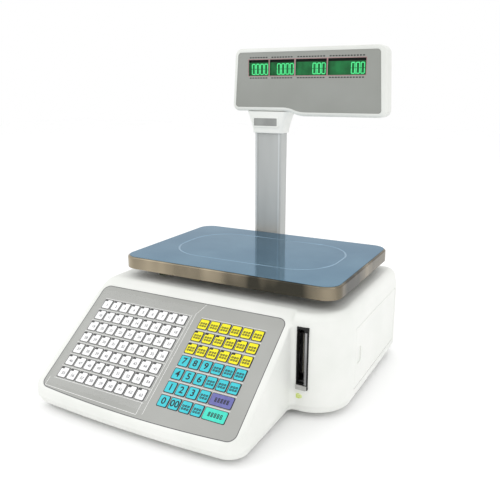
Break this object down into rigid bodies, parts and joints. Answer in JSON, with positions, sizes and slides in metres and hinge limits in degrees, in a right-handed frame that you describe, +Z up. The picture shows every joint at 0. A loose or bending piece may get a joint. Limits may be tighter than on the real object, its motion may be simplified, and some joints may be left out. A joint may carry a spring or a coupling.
{
  "type": "label printing scale",
  "caption": "Counter scale with a flat steel pan, a sloping film keyboard, a side bay with a thermal label printer and a pole with a wide display head.",
  "frame": {"origin": "on the counter, under the middle of the whole scale's box", "axes": "+Z up, +X to the operator's right, towards the printer bay, +Y away from the operator, towards the pole"},
  "size_m": [0.391, 0.4688, 0.494],
  "materials": {
    "white_abs": "satin moulded",
    "grey_face": "printed polycarbonate film, satin",
    "clear_film": "clear polyester",
    "lcd_glass": "green backlit, gloss",
    "stainless": "brushed, bright",
    "blue_film": "thin protective film, gloss",
    "zinc_steel": "zinc plated sheet",
    "cast_aluminium": "as machined",
    "column_grey": "grey coated extrusion",
    "black_plastic": "satin moulded",
    "black_rubber": "matt",
    "gear_nylon": "moulded, natural",
    "lever_blue": "moulded",
    "label_paper": "coated thermal label paper on its liner",
    "circuit_board": "solder mask"
  },
  "bodies": {
    "scale_body": {"bottom_tray": "white_abs", "upper_housing": "white_abs", "chassis_plate": "zinc_steel", "level_vial": "clear_film", "keypad_overlay": "grey_face", "keypad_membrane": "clear_film", "keypad_backplate": "zinc_steel", "preset_pocket_film": "clear_film", "load_cell": "cast_aluminium", "cell_base_block": "zinc_steel", "printer_frame": "zinc_steel", "stepper_motor": "zinc_steel", "exit_frame": "black_plastic", "peel_bar": "stainless", "label_sensor": "black_plastic", "main_board": "circuit_board", "power_supply": "zinc_steel", "power_inlet": "black_plastic", "data_ports": "zinc_steel", "pole_socket": "white_abs", "pole_column": "column_grey", "pole_clamp_screw": "zinc_steel", "display_neck": "white_abs", "neck_window": "grey_face", "head_front_shell": "white_abs", "head_rear_shell": "white_abs", "head_face_panel": "grey_face", "head_rear_panel": "grey_face", "tare_lcd": "lcd_glass", "weight_lcd": "lcd_glass", "unit_price_lcd": "lcd_glass", "total_price_lcd": "lcd_glass", "customer_lcd": "lcd_glass", "display_board": "circuit_board"},
    "weighing_cross": {"cell_post": "zinc_steel", "pan_support": "cast_aluminium", "support_pad_1": "black_rubber", "support_pad_2": "black_rubber", "support_pad_3": "black_rubber", "support_pad_4": "black_rubber"},
    "pan": {"weighing_pan": "stainless", "pan_film": "blue_film"},
    "bay_door": {"printer_door": "white_abs"},
    "supply_reel": {"supply_hub": "black_plastic", "label_roll": "label_paper"},
    "liner_spool": {"rewind_spool": "black_plastic"},
    "web_guide": {"guide_roller": "stainless"},
    "platen": {"platen_roller": "black_rubber", "platen_shaft": "stainless", "platen_gear": "gear_nylon"},
    "idler": {"idler_gear": "gear_nylon"},
    "motor_drive": {"motor_pinion": "gear_nylon"},
    "head_arm": {"head_carrier": "zinc_steel", "thermal_head": "black_plastic"},
    "lever": {"release_lever": "lever_blue"},
    "rocker": {"power_switch": "black_plastic"},
    "front_left_foot": {"foot_front_left": "black_rubber"},
    "front_right_foot": {"foot_front_right": "black_rubber"},
    "rear_left_foot": {"foot_rear_left": "black_rubber"},
    "rear_right_foot": {"foot_rear_right": "black_rubber"}
  },
  "joints": [
    {"name": "weigh_deflection", "type": "slide", "parent": "scale_body", "child": "weighing_cross", "axis": [0, 0, 1], "range_m": [-0.0008, 0], "stiffness_N_per_m": 300000, "springref_m": 0.00004, "deforming": ["load_cell"]},
    {"name": "pan_lift", "type": "slide", "parent": "weighing_cross", "child": "pan", "axis": [0, 0, 1], "range_m": [0, 0.06]},
    {"name": "door_swing", "type": "hinge", "parent": "scale_body", "child": "bay_door", "pos_m": [0.1935, 0.17, 0.07], "axis": [0, 0, 1], "range_deg": [0, 105]},
    {"name": "supply_turn", "type": "hinge", "parent": "scale_body", "child": "supply_reel", "pos_m": [0.128, 0.095, 0.09], "axis": [0, 0, 1], "continuous": true},
    {"name": "rewind_turn", "type": "hinge", "parent": "scale_body", "child": "liner_spool", "pos_m": [0.165, -0.004, 0.09], "axis": [0, 0, 1], "continuous": true},
    {"name": "guide_turn", "type": "hinge", "parent": "scale_body", "child": "web_guide", "pos_m": [0.147, 0.026, 0.09], "axis": [0, 0, 1], "continuous": true},
    {"name": "platen_turn", "type": "hinge", "parent": "scale_body", "child": "platen", "pos_m": [0.147, -0.062, 0.09], "axis": [0, 0, 1], "continuous": true},
    {"name": "idler_turn", "type": "hinge", "parent": "scale_body", "child": "idler", "pos_m": [0.12708, -0.0505, 0.042], "axis": [0, 0, 1], "continuous": true},
    {"name": "motor_turn", "type": "hinge", "parent": "scale_body", "child": "motor_drive", "pos_m": [0.10708, -0.0505, 0.042], "axis": [0, 0, 1], "continuous": true},
    {"name": "release_turn", "type": "hinge", "parent": "scale_body", "child": "lever", "pos_m": [0.118, -0.066, 0.125], "axis": [0, 0, 1], "range_deg": [0, 60]},
    {"name": "head_lift", "type": "hinge", "parent": "scale_body", "child": "head_arm", "pos_m": [0.13, -0.018, 0.09], "axis": [0, 0, 1], "range_deg": [-12, 0]},
    {"name": "power_rock", "type": "hinge", "parent": "scale_body", "child": "rocker", "pos_m": [0.145, 0.193, 0.044], "axis": [1, 0, 0], "range_deg": [-14, 0]},
    {"name": "front_left_foot_turn", "type": "hinge", "parent": "scale_body", "child": "front_left_foot", "pos_m": [-0.168, -0.196, 0.005], "axis": [0, 0, 1], "range_deg": [-360, 360]},
    {"name": "front_right_foot_turn", "type": "hinge", "parent": "scale_body", "child": "front_right_foot", "pos_m": [0.102, -0.196, 0.005], "axis": [0, 0, 1], "range_deg": [-360, 360]},
    {"name": "rear_left_foot_turn", "type": "hinge", "parent": "scale_body", "child": "rear_left_foot", "pos_m": [-0.168, 0.17, 0.005], "axis": [0, 0, 1], "range_deg": [-360, 360]},
    {"name": "rear_right_foot_turn", "type": "hinge", "parent": "scale_body", "child": "rear_right_foot", "pos_m": [0.16, 0.16, 0.005], "axis": [0, 0, 1], "range_deg": [-360, 360]}
  ],
  "couplings": [
    {"joint": "platen_turn", "follows": "idler_turn", "ratio": -1.5556},
    {"joint": "motor_turn", "follows": "idler_turn", "ratio": -2.3333},
    {"joint": "head_lift", "follows": "release_turn", "ratio": -0.2}
  ]
}
